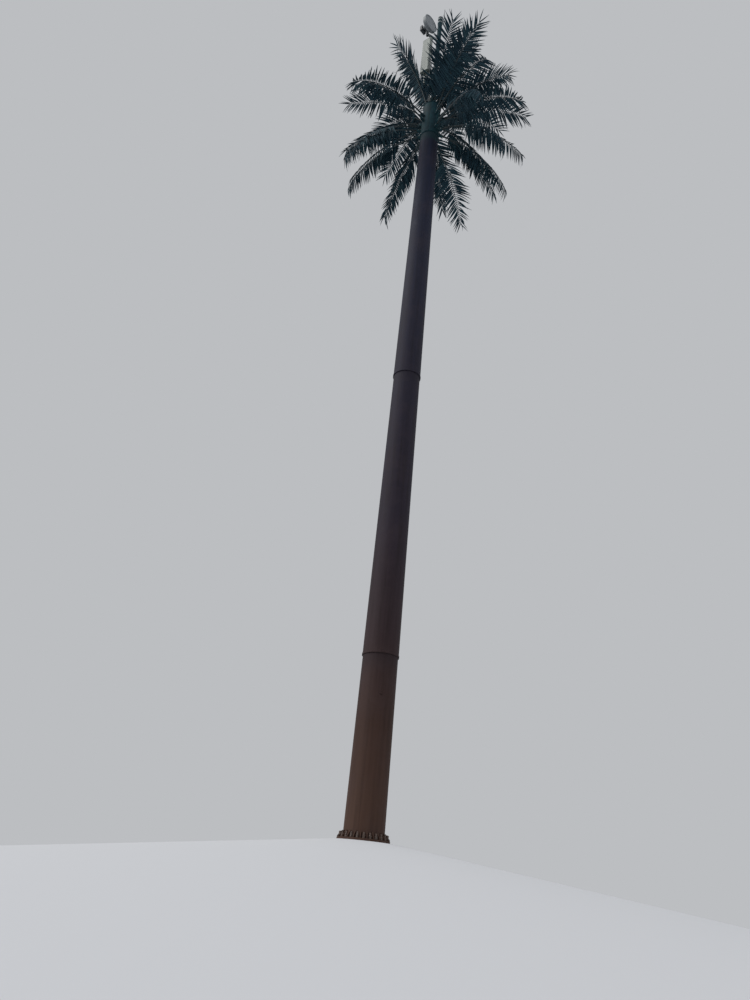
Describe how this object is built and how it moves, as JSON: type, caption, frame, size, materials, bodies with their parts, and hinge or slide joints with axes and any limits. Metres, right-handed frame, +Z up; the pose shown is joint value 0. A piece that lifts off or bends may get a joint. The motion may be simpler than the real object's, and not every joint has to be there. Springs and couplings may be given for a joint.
{
  "type": "palm-style monopole cell tower",
  "caption": "Tapered slip-joint steel monopole dressed as a palm, with panel antennas, a dish link and a lightning rod hidden among artificial fronds.",
  "frame": {"origin": "centre of the underside of the base flange, at ground level", "axes": "+Z up along the pole; +X to the right and +Y away from a viewer who stands in front, so the gap with the visible panel antenna and the dish lies towards -X and -Y"},
  "size_m": [7.2557, 7.0103, 29.92],
  "materials": {
    "trunk_paint": "matt, weathered",
    "crown_paint": "matt",
    "frond_plastic": "satin",
    "radome": "matt",
    "dish_shell": "satin",
    "radio_case": "satin",
    "galvanised_steel": "dull zinc",
    "rod_metal": "satin"
  },
  "bodies": {
    "root": {"base_flange": "trunk_paint", "base_gussets": "trunk_paint", "trunk_lower": "trunk_paint", "trunk_middle": "trunk_paint", "trunk_upper": "trunk_paint", "crown_pole": "crown_paint", "crown_plate": "crown_paint", "mast": "crown_paint", "mast_cap": "crown_paint", "lightning_rod": "rod_metal", "rod_clamps": "galvanised_steel", "collar_lower": "crown_paint", "collar_upper": "crown_paint", "antenna_pipes": "galvanised_steel", "tilt_brackets": "galvanised_steel", "panel_antenna_1": "radome", "panel_antenna_2": "radome", "panel_antenna_3": "radome", "dish_arm": "galvanised_steel", "dish_pipe": "galvanised_steel", "dish_antenna": "dish_shell", "dish_yoke": "galvanised_steel", "dish_radio": "radio_case", "frond_01": "frond_plastic", "frond_02": "frond_plastic", "frond_03": "frond_plastic", "frond_04": "frond_plastic", "frond_05": "frond_plastic", "frond_06": "frond_plastic", "frond_07": "frond_plastic", "frond_08": "frond_plastic", "frond_09": "frond_plastic", "frond_10": "frond_plastic", "frond_11": "frond_plastic", "frond_12": "frond_plastic", "frond_13": "frond_plastic", "frond_14": "frond_plastic", "frond_15": "frond_plastic", "frond_16": "frond_plastic", "frond_17": "frond_plastic", "frond_18": "frond_plastic", "frond_19": "frond_plastic", "frond_20": "frond_plastic", "frond_21": "frond_plastic", "frond_22": "frond_plastic", "frond_23": "frond_plastic", "frond_24": "frond_plastic", "frond_25": "frond_plastic", "frond_26": "frond_plastic", "frond_27": "frond_plastic", "frond_28": "frond_plastic", "frond_29": "frond_plastic", "frond_30": "frond_plastic", "frond_31": "frond_plastic", "frond_32": "frond_plastic", "frond_33": "frond_plastic", "frond_34": "frond_plastic", "frond_35": "frond_plastic", "frond_36": "frond_plastic"}
  },
  "joints": []
}
